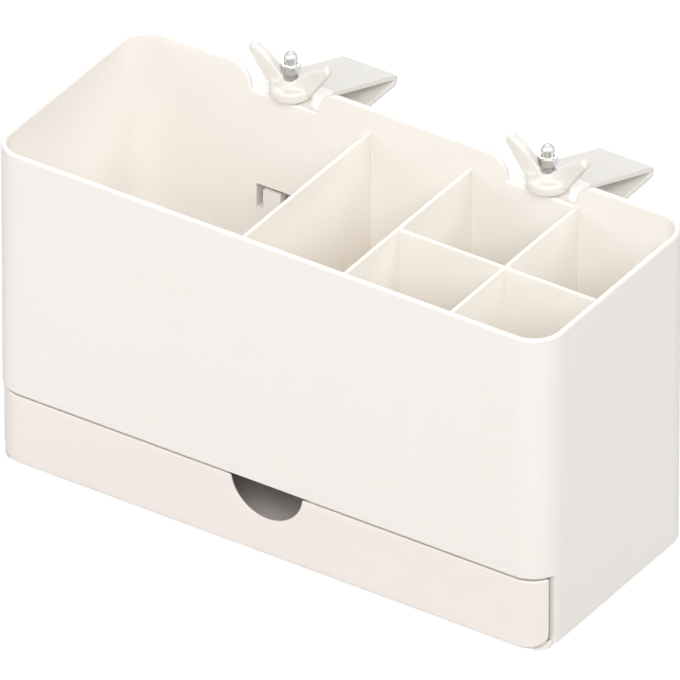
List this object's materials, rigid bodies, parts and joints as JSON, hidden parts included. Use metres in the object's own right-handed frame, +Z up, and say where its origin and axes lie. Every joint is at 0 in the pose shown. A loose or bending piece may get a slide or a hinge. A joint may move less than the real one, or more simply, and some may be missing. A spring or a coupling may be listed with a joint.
{
  "type": "desk-edge organizer with drawer and clamps",
  "caption": "Divided organizer box with a shallow drawer under it and screw clamps that hang it on the edge of a desk.",
  "frame": {"origin": "centre of the underside of the base plate", "axes": "+X along the box to the right seen from the front, +Y from the drawer front to the rear wall with the clamps, +Z up out of the compartments"},
  "size_m": [0.3, 0.1927, 0.1793],
  "materials": {
    "shell": "fine matte moulded, warm white",
    "divider": "fine matte moulded, warm white",
    "drawer": "fine matte moulded, warm white",
    "clamp_plastic": "satin moulded, cool white",
    "pad_rubber": "soft matte, light grey",
    "screw_metal": "zinc plated",
    "cap_chrome": "polished"
  },
  "bodies": {
    "organizer": {"box_shell": "shell", "base_plate": "shell", "base_screws": "screw_metal", "cross_divider_left": "divider", "cross_divider_middle": "divider", "cross_divider_right": "divider", "long_divider": "divider", "left_clamp_bracket": "clamp_plastic", "left_upper_pad": "pad_rubber", "left_washer": "screw_metal", "right_clamp_bracket": "clamp_plastic", "right_upper_pad": "pad_rubber", "right_washer": "screw_metal"},
    "drawer": {"drawer": "drawer"},
    "left_nut": {"left_wing_nut": "clamp_plastic", "left_nut_insert": "screw_metal"},
    "left_jaw": {"left_clamp_bolt": "screw_metal", "left_cap_nut": "cap_chrome", "left_lower_jaw": "clamp_plastic", "left_lower_pad": "pad_rubber"},
    "right_nut": {"right_wing_nut": "clamp_plastic", "right_nut_insert": "screw_metal"},
    "right_jaw": {"right_clamp_bolt": "screw_metal", "right_cap_nut": "cap_chrome", "right_lower_jaw": "clamp_plastic", "right_lower_pad": "pad_rubber"}
  },
  "joints": [
    {"name": "drawer_slide", "type": "slide", "parent": "organizer", "child": "drawer", "axis": [0, -1, 0], "range_m": [0, 0.095]},
    {"name": "left_jaw_slide", "type": "slide", "parent": "organizer", "child": "left_jaw", "axis": [0, 0, 1], "range_m": [0, 0.025]},
    {"name": "left_nut_spin", "type": "hinge", "parent": "organizer", "child": "left_nut", "pos_m": [-0.0695, 0.0647, 0.15695], "axis": [0, 0, 1], "range_deg": [-11250, 0]},
    {"name": "right_jaw_slide", "type": "slide", "parent": "organizer", "child": "right_jaw", "axis": [0, 0, 1], "range_m": [0, 0.025]},
    {"name": "right_nut_spin", "type": "hinge", "parent": "organizer", "child": "right_nut", "pos_m": [0.0695, 0.0647, 0.15695], "axis": [0, 0, 1], "range_deg": [-11250, 0]}
  ],
  "couplings": [
    {"joint": "left_nut_spin", "follows": "left_jaw_slide", "rad_per_m": -7853.9},
    {"joint": "right_nut_spin", "follows": "right_jaw_slide", "rad_per_m": -7853.9}
  ]
}
